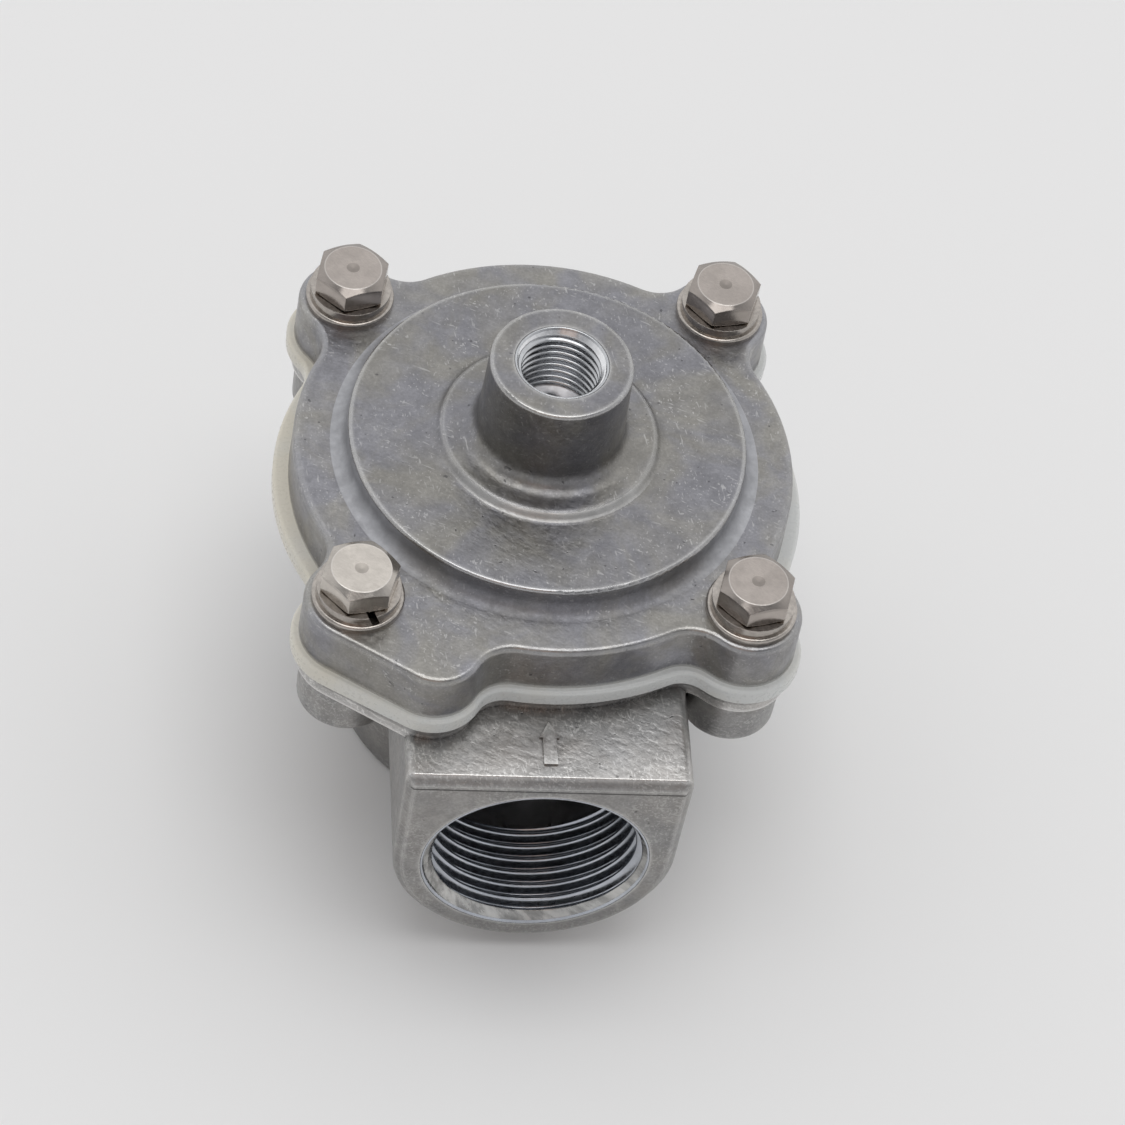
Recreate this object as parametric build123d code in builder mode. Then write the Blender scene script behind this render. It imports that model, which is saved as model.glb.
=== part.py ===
from build123d import *
from math import cos, hypot, radians, sin, tan
import os

# Right-angle diaphragm dump valve with a remote pilot port, in millimetres.
# The origin is the centre of the outlet face. +Z runs up the outlet axis and the inlet faces -Y.

# Port threads: root diameters of G1 and G1/4, modelled plain
main_thread_d = 33.25
main_drill_step = 1.475
main_mouth_step = 0.375
inlet_thread_l = 16.0
outlet_thread_l = 15.0
pilot_thread_d = 13.16
pilot_mouth_step = 0.4
pilot_thread_l = 11.6
drill_point = 118
pilot_floor_t = 1.95
pilot_way_d = 3.0
pilot_way_offset = 3.5

# Clamped joint shared by cover, diaphragm and body
clamp_land = 9.6
bolt_overhang = 2.7
lobe_margin = 1.2
lobe_blend_r = 5.6
nose_tip_r = 7.0
nose_angle = -115.4
bleed_angle = -111.7
bleed_inset = 5.2
body_bleed_d = 2.6
rim_bleed_d = 4.0
groove_w = 4.0
groove_h = 2.4

# Body casting
flange_t = 3.2
bowl_margin = 0.5
bowl_draft = 2.5
bowl_flare_r = 4.0
base_edge_r = 1.2
bowl_wall = 3.4
floor_t = 4.5
inlet_reach = 13.1
block_wall = 3.9
block_foot = 2.6
block_roof = 3.4
block_step = 2.3
block_edge_r = 1.4
block_face_bevel = 1.25
block_bevel_r = 0.3
arrow_start = 3.3
arrow_l = 7.4
arrow_w = 2.0
arrow_head_l = 2.8
arrow_head_w = 2.9
arrow_h = 0.4
nozzle_choke = 4.125
nozzle_wall = 3.1
outlet_wall = 3.6
nozzle_step_rise = 4.0
seat_drop = 3.2
seat_bevel = 0.8
throat_rise = 3.0
bolt_end_gap = 0.8
bolt_boss_inset = 0.7
boss_edge_r = 0.9
web_t = 8.0
web_drop = 5.0

# Cover casting
cover_wall_h = 8.3
cover_draft = 1.5
cover_edge_r = 0.9
disc_margin = 1.7
disc_rise = 4.0
disc_foot_r = 2.2
disc_draft_in = 0.1
disc_edge_r = 0.5
roof_t = 4.0
roof_r = 2.0
pad_land = 2.5
pad_rise = 1.0
pad_ramp = 0.9
pad_edge_r = 0.35
pad_foot_r = 0.8
pilot_boss_wall = 3.92
boss_taper = 0.4
boss_foot_r = 2.5
boss_top_r = 0.5
pocket_gap = 1.5
pocket_h = 2.4
rib_count = 6
rib_w = 2.2
rib_h = 1.0
rib_inner_gap = 2.0
rib_outer_gap = 4.0

# Diaphragm and its centre stack
rim_t = 3.0
rim_side_proud = 2.3
rim_front_proud = 1.0
rim_lobe_proud = 1.1
rim_nose_proud = 0.8
rim_edge_r = 0.6
rim_inset = 1.0
membrane_t = 1.8
roll_inset = 1.4
roll_w = 8.6
roll_rise = 3.2
seat_overlap = 1.4
seat_disc_t = 2.5
lower_plate_gap = 1.7
lower_plate_t = 1.2
support_plate_inset = 0.2
support_plate_t = 1.2
support_rim_h = 1.5
rivet_d = 6.0
rivet_fit = 0.2
rivet_head_d = 10.0
rivet_head_h = 1.8
clinch_d = 9.6
clinch_h = 1.6
stop_gap = 0.1

# Return spring
spring_wire_d = 1.2
spring_mean_d = 18.8
spring_turns = 3.75

# M6 fasteners
bolt_d = 6.0
bolt_l = 25.0
bolt_tip = 0.7
tapped_d = bolt_d + 0.1
clearance_d = bolt_d + 0.6
head_af = 10.0
head_h = 4.0
head_crown_d = 8.7
head_crown_drop = 0.82
head_face_d = 9.0
head_face_rise = 0.4
head_dimple_d = 2.0
head_dimple_h = 0.2
lock_od = 12.2
lock_id = bolt_d + 0.2
lock_t = 1.6
lock_gap = 1.1
lock_gap_tilt = 20
flat_od = 13.4
flat_id = bolt_d + 0.4
flat_t = 1.2
flat_edge_r = 0.4

# Radii from the nozzle out to the bolts
main_drill_d = main_thread_d - 2 * main_drill_step
main_mouth_d = main_thread_d + 2 * main_mouth_step
nozzle_bore_d = main_thread_d - 2 * nozzle_choke
seat_disc_d = nozzle_bore_d + 2 * (nozzle_wall + seat_overlap)
roll_start_r = seat_disc_d / 2 + roll_inset
rim_inner_r = roll_start_r + roll_w
chamber_r = rim_inner_r + rim_inset
clamp_d = 2 * (chamber_r + clamp_land)
bolt_reach = clamp_d / 2 + bolt_overhang
half_pitch = bolt_reach * cos(radians(45))
lobe_r = flat_od / 2 + lobe_margin
nose_x, nose_y = bolt_reach * cos(radians(nose_angle)), bolt_reach * sin(radians(nose_angle))
bleed_reach = bolt_reach - bleed_inset
bleed_x, bleed_y = bleed_reach * cos(radians(bleed_angle)), bleed_reach * sin(radians(bleed_angle))
inlet_face_y = -clamp_d / 2 - inlet_reach
block_half_w = main_mouth_d / 2 + block_wall

# Heights from the inlet up to the bolt heads and the pilot port
inlet_axis_z = block_half_w + block_foot
block_top_z = inlet_axis_z + main_mouth_d / 2 + block_roof
body_h = block_top_z + block_step
flange_bottom_z = body_h - flange_t
seat_z = body_h - seat_drop
rim_top_z = body_h + rim_t
cover_top_z = rim_top_z + cover_wall_h
disc_top_z = cover_top_z + disc_rise
pad_z = disc_top_z + pad_rise
roof_z = disc_top_z - roof_t
pocket_z = roof_z + pocket_h
pilot_cone_rise = pilot_thread_d / 2 / tan(radians(drill_point / 2))
pilot_end_z = pocket_z + pilot_floor_t + pilot_cone_rise
boss_top_z = pilot_end_z + pilot_thread_l
head_seat_z = cover_top_z + flat_t + lock_t
boss_bottom_z = head_seat_z - bolt_l - bolt_end_gap

# Heights of the centre stack, which lifts until its rim meets the stop ribs
membrane_z = seat_z + seat_disc_t
support_z = membrane_z + membrane_t
support_top_z = support_z + support_plate_t
support_rim_z = support_top_z + support_rim_h
stop_z = roof_z - rib_h

# Each bolt station: name, x side, y side, head rotation and washer split direction
stations = [
    ("front_left", -1, -1, 12.0, -70),
    ("front_right", 1, -1, 14.0, 120),
    ("back_left", -1, 1, 18.3, 75),
    ("back_right", 1, 1, 9.8, 40),
]


def lobed_plate(z, height, side_d, front_d, lobe, tip, blend, taper=0):
    """A round plate with four bolt lobes and a nose joined to the front left lobe."""
    run_x, run_y = nose_x + half_pitch, nose_y + half_pitch
    run = hypot(run_x, run_y)
    along_x, along_y = run_x / run, run_y / run
    lean = (lobe - tip) / run
    spread = (1 - lean * lean) ** 0.5
    with BuildSketch(Plane.XY.offset(z)) as outline:
        Ellipse(side_d / 2, front_d / 2) if side_d > front_d else Circle(side_d / 2)
        with GridLocations(2 * half_pitch, 2 * half_pitch, 2, 2):
            Circle(lobe)
        with Locations((nose_x, nose_y)):
            Circle(tip)
        corners = []
        for side in (1, -1):
            normal = (along_x * lean - side * along_y * spread, along_y * lean + side * along_x * spread)
            corners.append((lobe * normal[0] - half_pitch, lobe * normal[1] - half_pitch))
            corners.append((tip * normal[0] + nose_x, tip * normal[1] + nose_y))
        Polygon(corners[0], corners[1], corners[3], corners[2], align=None)
        notches = [
            v
            for v in outline.vertices()
            if abs((2 * v.X / side_d) ** 2 + (2 * v.Y / front_d) ** 2 - 1) < 0.0001 and abs(v.Y) > 1
        ]
        fillet(notches, blend)
    return extrude(outline.sketch, amount=height, taper=taper, mode=Mode.PRIVATE)


def bolt_plane(x_side, y_side, z, turn=0):
    """A level plane on a bolt's axis, turned about it."""
    x_dir = (cos(radians(turn)), sin(radians(turn)), 0)
    return Plane(origin=(x_side * half_pitch, y_side * half_pitch, z), x_dir=x_dir, z_dir=(0, 0, 1))


def radial_plane(angle):
    """An upright plane through the valve's axis: x runs outwards, y runs up."""
    x_dir = (cos(radians(angle)), sin(radians(angle)), 0)
    return Plane(origin=(0, 0, 0), x_dir=x_dir, z_dir=(x_dir[1], -x_dir[0], 0))


def finish_piece(piece, name):
    """Label a finished piece and write it to its own file."""
    piece.part.label = name
    export_step(piece.part, f"parts/{name}.step")


os.makedirs("parts", exist_ok=True)


# Body: bowl, clamping flange, bolt bosses, inlet block, annular chamber and outlet nozzle
bowl_top_r = chamber_r + bowl_margin
bowl_shoulder_z = flange_bottom_z - bowl_flare_r
bowl_base_r = bowl_top_r - bowl_shoulder_z * tan(radians(bowl_draft))
flare_r = bowl_top_r + bowl_flare_r
bolt_boss_r = lobe_r - bolt_boss_inset
web_z = boss_bottom_z + boss_edge_r
web_r = bolt_reach - bolt_boss_r + boss_edge_r
nozzle_bore_r = nozzle_bore_d / 2
nozzle_top_r = nozzle_bore_r + nozzle_wall
nozzle_base_r = main_thread_d / 2 + outlet_wall
nozzle_step_z = outlet_thread_l + nozzle_step_rise

with BuildPart() as body:
    # Bowl, flared out under the flange
    with BuildSketch(Plane.XZ):
        with BuildLine():
            Polyline((0, flange_bottom_z), (0, 0), (bowl_base_r, 0), (bowl_top_r, bowl_shoulder_z))
            RadiusArc((bowl_top_r, bowl_shoulder_z), (flare_r, flange_bottom_z), bowl_flare_r)
            Line((flare_r, flange_bottom_z), (0, flange_bottom_z))
        make_face()
    revolve(axis=Axis.Z)
    fillet(body.edges().group_by(Axis.Z)[0], base_edge_r)

    # Bolt bosses, each with a web to the bowl
    for name, x_side, y_side, turn, split in stations:
        with BuildPart(mode=Mode.PRIVATE) as boss:
            with BuildSketch(bolt_plane(x_side, y_side, boss_bottom_z)):
                Circle(bolt_boss_r)
            extrude(amount=body_h - flange_t / 2 - boss_bottom_z)
            fillet(boss.edges().group_by(Axis.Z)[0], boss_edge_r)
        add(boss.part)
        with BuildSketch(radial_plane(y_side * (90 - x_side * 45))):
            Polygon(
                (bowl_base_r - 1, flange_bottom_z),
                (bolt_reach, flange_bottom_z),
                (bolt_reach, web_z),
                (web_r, web_z),
                (bowl_base_r - 1, boss_bottom_z - web_drop),
                align=None,
            )
        extrude(amount=web_t / 2, both=True)

    # Clamping flange
    flange = lobed_plate(flange_bottom_z, flange_t, clamp_d, clamp_d, lobe_r, nose_tip_r, lobe_blend_r)
    add(flange)

    # Inlet block, flat on top and round below
    with BuildPart(mode=Mode.PRIVATE) as block:
        with BuildSketch(Plane.XZ.offset(-inlet_face_y)):
            with BuildLine():
                ThreePointArc((-block_half_w, inlet_axis_z), (0, block_foot), (block_half_w, inlet_axis_z))
                Line((block_half_w, inlet_axis_z), (block_half_w, block_top_z))
                Line((block_half_w, block_top_z), (-block_half_w, block_top_z))
                Line((-block_half_w, block_top_z), (-block_half_w, inlet_axis_z))
            make_face()
        extrude(amount=inlet_face_y + bowl_wall)
        fillet(block.edges().filter_by(Axis.Y).group_by(Axis.Z)[-1], block_edge_r)
        chamfer(block.edges().group_by(Axis.Y)[0], block_face_bevel)
        fillet(block.edges().filter_by(Axis.X), block_bevel_r)
    add(block.part)

    # Raised flow arrow on the block, pointing into the valve
    arrow_y = inlet_face_y + arrow_start
    with BuildSketch(Plane.XY.offset(block_top_z)):
        with Locations((0, arrow_y)):
            Rectangle(arrow_w, arrow_l - arrow_head_l, align=(Align.CENTER, Align.MIN))
        Polygon(
            (-arrow_head_w / 2, arrow_y + arrow_l - arrow_head_l),
            (arrow_head_w / 2, arrow_y + arrow_l - arrow_head_l),
            (0, arrow_y + arrow_l),
            align=None,
        )
    extrude(amount=arrow_h)

    # Annular chamber round the nozzle, open to the clamping face
    with BuildSketch(Plane.XZ):
        Polygon(
            (0, body_h),
            (chamber_r, body_h),
            (chamber_r, seat_z),
            (bowl_top_r - bowl_wall, seat_z - seat_drop),
            (bowl_base_r - bowl_wall, floor_t),
            (nozzle_base_r, floor_t),
            (nozzle_base_r, outlet_thread_l),
            (nozzle_top_r + seat_bevel, nozzle_step_z),
            (nozzle_top_r, seat_z - seat_bevel),
            (nozzle_top_r - seat_bevel, seat_z),
            (0, seat_z),
            align=None,
        )
    revolve(axis=Axis.Z, mode=Mode.SUBTRACT)

    # Inlet port, threaded and then drilled on into the annular chamber
    with BuildSketch(Plane.YZ):
        Polygon(
            (inlet_face_y, inlet_axis_z),
            (inlet_face_y, inlet_axis_z + main_mouth_d / 2),
            (inlet_face_y + main_mouth_step, inlet_axis_z + main_thread_d / 2),
            (inlet_face_y + inlet_thread_l, inlet_axis_z + main_thread_d / 2),
            (inlet_face_y + inlet_thread_l, inlet_axis_z + main_drill_d / 2),
            (-nozzle_base_r - seat_bevel, inlet_axis_z + main_drill_d / 2),
            (-nozzle_base_r - seat_bevel, inlet_axis_z),
            align=None,
        )
    revolve(axis=Axis((0, 0, inlet_axis_z), (0, 1, 0)), mode=Mode.SUBTRACT)

    # Outlet port and nozzle bore
    with BuildSketch(Plane.XZ):
        Polygon(
            (0, 0),
            (main_mouth_d / 2, 0),
            (main_thread_d / 2, main_mouth_step),
            (main_thread_d / 2, outlet_thread_l),
            (nozzle_bore_r, outlet_thread_l + throat_rise),
            (nozzle_bore_r, seat_z - seat_bevel),
            (nozzle_bore_r + seat_bevel, seat_z),
            (0, seat_z),
            align=None,
        )
    revolve(axis=Axis.Z, mode=Mode.SUBTRACT)

    # Tapped bolt holes and the bleed drilling
    with Locations(Plane.XY.offset(body_h)):
        with GridLocations(2 * half_pitch, 2 * half_pitch, 2, 2):
            Hole(tapped_d / 2, depth=body_h - boss_bottom_z)
        with Locations((bleed_x, bleed_y)):
            Hole(body_bleed_d / 2, depth=body_h - inlet_axis_z)

finish_piece(body, "valve_body")


# Cover: lobed wall, raised disc, pilot boss, pilot chamber, spring pocket and stop ribs
disc_r = chamber_r + disc_margin
boss_r = pilot_thread_d / 2 + pilot_mouth_step + pilot_boss_wall
pad_r = boss_r + boss_foot_r + pad_land
pocket_r = (spring_mean_d + spring_wire_d) / 2 + pocket_gap
rib_start_r = pocket_r + rib_inner_gap
rib_end_r = chamber_r - rib_outer_gap

with BuildPart() as cover:
    outline_sizes = clamp_d, clamp_d, lobe_r, nose_tip_r, lobe_blend_r
    wall = lobed_plate(rim_top_z, cover_wall_h, *outline_sizes, taper=cover_draft)
    add(wall)
    fillet(cover.edges().group_by(Axis.Z)[-1], cover_edge_r)

    # Disc, pad and pilot boss
    with BuildSketch(Plane.XZ):
        with BuildLine():
            RadiusArc((disc_r + disc_foot_r, cover_top_z), (disc_r, cover_top_z + disc_foot_r), disc_foot_r)
            Polyline(
                (disc_r, cover_top_z + disc_foot_r),
                (disc_r - disc_draft_in, disc_top_z),
                (pad_r + pad_ramp, disc_top_z),
                (pad_r, pad_z),
                (boss_r + boss_foot_r, pad_z),
            )
            RadiusArc((boss_r + boss_foot_r, pad_z), (boss_r, pad_z + boss_foot_r), boss_foot_r)
            Polyline(
                (boss_r, pad_z + boss_foot_r),
                (boss_r - boss_taper, boss_top_z),
                (0, boss_top_z),
                (0, cover_top_z - 1),
                (disc_r + disc_foot_r, cover_top_z - 1),
                (disc_r + disc_foot_r, cover_top_z),
            )
        make_face()
    revolve(axis=Axis.Z)
    rims = cover.edges().filter_by(GeomType.CIRCLE)
    for rim_r, edge_r in (
        (disc_r - disc_draft_in, disc_edge_r),
        (boss_r - boss_taper, boss_top_r),
        (pad_r, pad_edge_r),
        (pad_r + pad_ramp, pad_foot_r),
    ):
        chosen = [rim for rim in rims if abs(rim.radius - rim_r) < 0.01 and rim.arc_center.Z > cover_top_z]
        fillet(chosen, edge_r)

    # Pilot chamber and spring pocket
    with BuildPart(mode=Mode.PRIVATE) as chamber:
        with Locations((0, 0, rim_top_z)):
            Cylinder(chamber_r, roof_z - rim_top_z, align=(Align.CENTER, Align.CENTER, Align.MIN))
        fillet(chamber.edges().group_by(Axis.Z)[-1], roof_r)
        with Locations((0, 0, roof_z - 1)):
            Cylinder(pocket_r, pocket_h + 1, align=(Align.CENTER, Align.CENTER, Align.MIN))
    add(chamber.part, mode=Mode.SUBTRACT)

    # Stop ribs for the support plate
    with BuildSketch(Plane.XY.offset(stop_z)):
        with PolarLocations((rib_start_r + rib_end_r) / 2, rib_count, start_angle=30):
            Rectangle(rib_end_r - rib_start_r, rib_w)
    extrude(amount=rib_h)

    # Pilot port with its drilled cone and the way into the pocket
    with BuildSketch(Plane.XZ):
        Polygon(
            (0, boss_top_z),
            (pilot_thread_d / 2 + pilot_mouth_step, boss_top_z),
            (pilot_thread_d / 2, boss_top_z - pilot_mouth_step),
            (pilot_thread_d / 2, pilot_end_z),
            (0, pilot_end_z - pilot_cone_rise),
            align=None,
        )
    revolve(axis=Axis.Z, mode=Mode.SUBTRACT)
    with Locations(Plane.XY.offset(pilot_end_z)):
        with Locations((0, pilot_way_offset)):
            Hole(pilot_way_d / 2, depth=pilot_end_z - roof_z)

    # Bolt holes and the bleed groove from the nose to the pilot chamber
    with Locations(Plane.XY.offset(disc_top_z)):
        with GridLocations(2 * half_pitch, 2 * half_pitch, 2, 2):
            Hole(clearance_d / 2, depth=disc_top_z - rim_top_z)
    with BuildSketch(Plane.XY.offset(rim_top_z)):
        with Locations((bleed_x, bleed_y)):
            Circle(groove_w / 2)
        Polygon(
            (bleed_x - groove_w / 2 * bleed_y / bleed_reach, bleed_y + groove_w / 2 * bleed_x / bleed_reach),
            (bleed_x + groove_w / 2 * bleed_y / bleed_reach, bleed_y - groove_w / 2 * bleed_x / bleed_reach),
            (0, 0),
            align=None,
        )
    extrude(amount=groove_h, mode=Mode.SUBTRACT)

finish_piece(cover, "valve_cover")


# Diaphragm: clamped rim with holes, one convolution and a flat centre
rim_side_d = clamp_d + 2 * rim_side_proud
rim_front_d = clamp_d + 2 * rim_front_proud
rim_lobe_r = lobe_r + rim_lobe_proud
rim_nose_r = nose_tip_r + rim_nose_proud
rim_blend_r = lobe_blend_r - rim_lobe_proud
roll_mid_r = (roll_start_r + rim_inner_r) / 2
rim_join_r = rim_inner_r + rim_inset / 2
stack_hole_d = rivet_d + rivet_fit

with BuildPart() as diaphragm:
    rim = lobed_plate(body_h, rim_t, rim_side_d, rim_front_d, rim_lobe_r, rim_nose_r, rim_blend_r)
    add(rim)
    fillet(diaphragm.edges().group_by(Axis.Z)[0] + diaphragm.edges().group_by(Axis.Z)[-1], rim_edge_r)
    with Locations(Plane.XY.offset(rim_top_z)):
        Hole(rim_join_r, depth=rim_t)
        with GridLocations(2 * half_pitch, 2 * half_pitch, 2, 2):
            Hole(clearance_d / 2, depth=rim_t)
        with Locations((bleed_x, bleed_y)):
            Hole(rim_bleed_d / 2, depth=rim_t)
    with BuildSketch(Plane.XZ):
        with BuildLine():
            Polyline((roll_start_r, support_z), (stack_hole_d / 2, support_z), (stack_hole_d / 2, membrane_z))
            Line((stack_hole_d / 2, membrane_z), (roll_start_r + membrane_t, membrane_z))
            ThreePointArc(
                (roll_start_r + membrane_t, membrane_z),
                (roll_mid_r, support_z + roll_rise - membrane_t),
                (rim_inner_r - membrane_t, body_h),
            )
            Polyline((rim_inner_r - membrane_t, body_h), (rim_join_r, body_h), (rim_join_r, rim_top_z))
            Line((rim_join_r, rim_top_z), (rim_inner_r, rim_top_z))
            ThreePointArc(
                (rim_inner_r, rim_top_z),
                (roll_mid_r, support_z + roll_rise),
                (roll_start_r, support_z),
            )
        make_face()
    revolve(axis=Axis.Z)

finish_piece(diaphragm, "diaphragm")


# Centre stack: seat disc, lower plate, support plate and the rivet through them
with BuildPart() as seat_disc:
    with BuildSketch(Plane.XY.offset(seat_z)):
        Circle(seat_disc_d / 2)
        Circle(stack_hole_d / 2, mode=Mode.SUBTRACT)
    extrude(amount=seat_disc_t)
    fillet(seat_disc.edges().group_by(SortBy.LENGTH)[-1].group_by(Axis.Z)[0], rim_edge_r)

finish_piece(seat_disc, "seat_disc")

with BuildPart() as lower_plate:
    with BuildSketch(Plane.XY.offset(seat_z - lower_plate_t)):
        Circle(nozzle_bore_d / 2 - lower_plate_gap)
        Circle(stack_hole_d / 2, mode=Mode.SUBTRACT)
    extrude(amount=lower_plate_t)
    fillet(lower_plate.edges().group_by(SortBy.LENGTH)[-1].group_by(Axis.Z)[0], flat_edge_r)

finish_piece(lower_plate, "lower_plate")

support_r = seat_disc_d / 2 - support_plate_inset
curl_r = support_plate_t + support_rim_h
flat_r = support_r - curl_r

with BuildPart() as support_plate:
    with BuildSketch(Plane.XZ):
        with BuildLine():
            Polyline((flat_r, support_z), (stack_hole_d / 2, support_z), (stack_hole_d / 2, support_top_z))
            Line((stack_hole_d / 2, support_top_z), (flat_r, support_top_z))
            RadiusArc((flat_r, support_top_z), (support_r - support_plate_t, support_rim_z), -support_rim_h)
            Line((support_r - support_plate_t, support_rim_z), (support_r, support_rim_z))
            RadiusArc((support_r, support_rim_z), (flat_r, support_z), curl_r)
        make_face()
    revolve(axis=Axis.Z)

finish_piece(support_plate, "support_plate")

with BuildPart() as rivet:
    with Locations((0, 0, seat_z - lower_plate_t - clinch_h)):
        Cylinder(clinch_d / 2, clinch_h, align=(Align.CENTER, Align.CENTER, Align.MIN))
        Cylinder(
            rivet_d / 2,
            clinch_h + support_top_z - seat_z + lower_plate_t,
            align=(Align.CENTER, Align.CENTER, Align.MIN),
        )
    with Locations((0, 0, support_top_z)):
        Cylinder(rivet_head_d / 2, rivet_head_h, align=(Align.CENTER, Align.CENTER, Align.MIN))
    fillet(rivet.edges().group_by(Axis.Z)[0] + rivet.edges().group_by(Axis.Z)[-1], clinch_h / 2)

finish_piece(rivet, "centre_rivet")


# Return spring with ends ground flat
spring_h = pocket_z - support_top_z
spring_mean_r = spring_mean_d / 2

with BuildPart() as spring:
    with BuildLine(Plane.XY.offset(support_top_z)):
        coil = Helix(spring_h / spring_turns, spring_h, spring_mean_r)
    with BuildSketch(Plane(origin=coil @ 0, z_dir=coil % 0)):
        Circle(spring_wire_d / 2)
    sweep(path=coil, is_frenet=True)
    with Locations((0, 0, support_top_z)):
        Cylinder(
            spring_mean_r + spring_wire_d,
            spring_h,
            align=(Align.CENTER, Align.CENTER, Align.MIN),
            mode=Mode.INTERSECT,
        )

finish_piece(spring, "return_spring")


# Fasteners: a hex bolt, a split lock washer and a flat washer at each station
corner_r = head_af / 3**0.5
crown_slope = head_crown_drop / (corner_r - head_crown_d / 2)
face_slope = head_face_rise / (corner_r - head_face_d / 2)
for name, x_side, y_side, turn, split in stations:
    with BuildPart() as bolt:
        with BuildSketch(bolt_plane(x_side, y_side, head_seat_z, turn)):
            RegularPolygon(head_af / 2, 6, major_radius=False)
        extrude(amount=head_h)
        with BuildPart(mode=Mode.PRIVATE) as crown:
            with BuildSketch(Plane.XZ):
                Polygon(
                    (0, 0),
                    (head_face_d / 2, 0),
                    (lock_od / 2, face_slope * (lock_od - head_face_d) / 2),
                    (lock_od / 2, head_h - crown_slope * (lock_od - head_crown_d) / 2),
                    (head_crown_d / 2, head_h),
                    (head_dimple_d / 2, head_h),
                    (0, head_h - head_dimple_h),
                    align=None,
                )
            revolve(axis=Axis.Z)
        add(bolt_plane(x_side, y_side, head_seat_z).location * crown.part, mode=Mode.INTERSECT)
        with BuildSketch(bolt_plane(x_side, y_side, head_seat_z)):
            Circle(bolt_d / 2)
        extrude(amount=-bolt_l)
        chamfer(bolt.edges().group_by(Axis.Z)[0], bolt_tip)
    finish_piece(bolt, f"bolt_{name}")

    with BuildPart() as lock_washer:
        with BuildSketch(bolt_plane(x_side, y_side, head_seat_z - lock_t)):
            Circle(lock_od / 2)
            Circle(lock_id / 2, mode=Mode.SUBTRACT)
        extrude(amount=lock_t)
        with Locations(bolt_plane(x_side, y_side, head_seat_z - lock_t / 2, split)):
            with Locations(Location((lock_od / 2, 0, 0), (lock_gap_tilt, 0, 0))):
                Box(lock_od, lock_gap, 3 * lock_t, mode=Mode.SUBTRACT)
    finish_piece(lock_washer, f"lock_washer_{name}")

    with BuildPart() as flat_washer:
        with BuildSketch(bolt_plane(x_side, y_side, cover_top_z)):
            Circle(flat_od / 2)
            Circle(flat_id / 2, mode=Mode.SUBTRACT)
        extrude(amount=flat_t)
        fillet(flat_washer.edges().group_by(Axis.Z)[-1].sort_by(SortBy.LENGTH)[-1], flat_edge_r)
    finish_piece(flat_washer, f"flat_washer_{name}")
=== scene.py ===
from math import cos, hypot, radians, sin, tau

import bmesh
import bpy
from mathutils import Matrix, Vector


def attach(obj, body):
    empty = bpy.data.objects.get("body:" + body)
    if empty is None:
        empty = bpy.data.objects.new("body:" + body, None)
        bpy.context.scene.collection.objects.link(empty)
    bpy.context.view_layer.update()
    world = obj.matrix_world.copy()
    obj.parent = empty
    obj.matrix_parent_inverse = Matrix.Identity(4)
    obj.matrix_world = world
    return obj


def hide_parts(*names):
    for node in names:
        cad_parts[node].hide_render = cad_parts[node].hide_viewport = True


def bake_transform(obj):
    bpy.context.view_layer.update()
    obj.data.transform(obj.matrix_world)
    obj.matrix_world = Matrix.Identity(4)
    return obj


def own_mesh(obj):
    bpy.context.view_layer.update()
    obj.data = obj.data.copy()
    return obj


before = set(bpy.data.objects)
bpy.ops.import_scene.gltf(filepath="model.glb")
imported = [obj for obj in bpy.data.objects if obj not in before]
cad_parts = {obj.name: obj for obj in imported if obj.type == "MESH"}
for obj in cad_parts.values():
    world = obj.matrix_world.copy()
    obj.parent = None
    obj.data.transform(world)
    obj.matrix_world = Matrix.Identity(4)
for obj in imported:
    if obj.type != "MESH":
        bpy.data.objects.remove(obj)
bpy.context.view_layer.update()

# Meshes are in metres, and places that a material looks up are in millimetres
MM = 0.001
X, Y, Z = 0, 1, 2

# Sizes shared with the solids
INLET_FACE_Y = -50.7 * MM
INLET_AXIS_Z = 23.5 * MM
BOSS_TOP_Z = 77.4 * MM
BOLT_STATION = 28.5
HEAD_TOP, HEAD_FACE_R, HEAD_DIMPLE_R = 64.3, 4.3, 1.05

scene = bpy.context.scene
scene.view_settings.view_transform = "Standard"


# Node helpers for procedural materials
def new_material(name):
    material = bpy.data.materials.new(name)
    material.use_nodes = True
    tree = material.node_tree
    return material, tree, tree.nodes["Principled BSDF"]


def node(tree, kind, inputs=None, **settings):
    """A new node: each input is set to a value, or linked where it is given a socket."""
    made = tree.nodes.new(kind)
    for key, value in settings.items():
        setattr(made, key, value)
    for key, value in (inputs or {}).items():
        if isinstance(value, bpy.types.NodeSocket):
            tree.links.new(value, made.inputs[key])
        else:
            made.inputs[key].default_value = value
    return made


def coords(tree, scale=(1, 1, 1), turn=(0, 0, 0), shift=(0, 0, 0)):
    """Object coordinates in millimetres, turned and then stretched."""
    source = node(tree, "ShaderNodeTexCoord").outputs["Object"]
    turned = node(tree, "ShaderNodeMapping", {"Vector": source, "Rotation": turn, "Location": shift})
    size = tuple(s / MM for s in scale)
    return node(tree, "ShaderNodeMapping", {"Vector": turned.outputs[0], "Scale": size}).outputs[0]


def split(tree, vector):
    return node(tree, "ShaderNodeSeparateXYZ", {"Vector": vector}).outputs


def noise(tree, vector, scale, detail=3.0, rough=0.55, distortion=0.0):
    inputs = {"Vector": vector, "Scale": scale, "Detail": detail, "Roughness": rough}
    inputs["Distortion"] = distortion
    return node(tree, "ShaderNodeTexNoise", inputs).outputs["Fac"]


def ramp(tree, value, low, high, out_low=0.0, out_high=1.0):
    """A smooth step from out_low to out_high as the value goes from low to high."""
    inputs = {"Value": value, "From Min": low, "From Max": high, "To Min": out_low, "To Max": out_high}
    return node(tree, "ShaderNodeMapRange", inputs, interpolation_type="SMOOTHSTEP").outputs[0]


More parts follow.
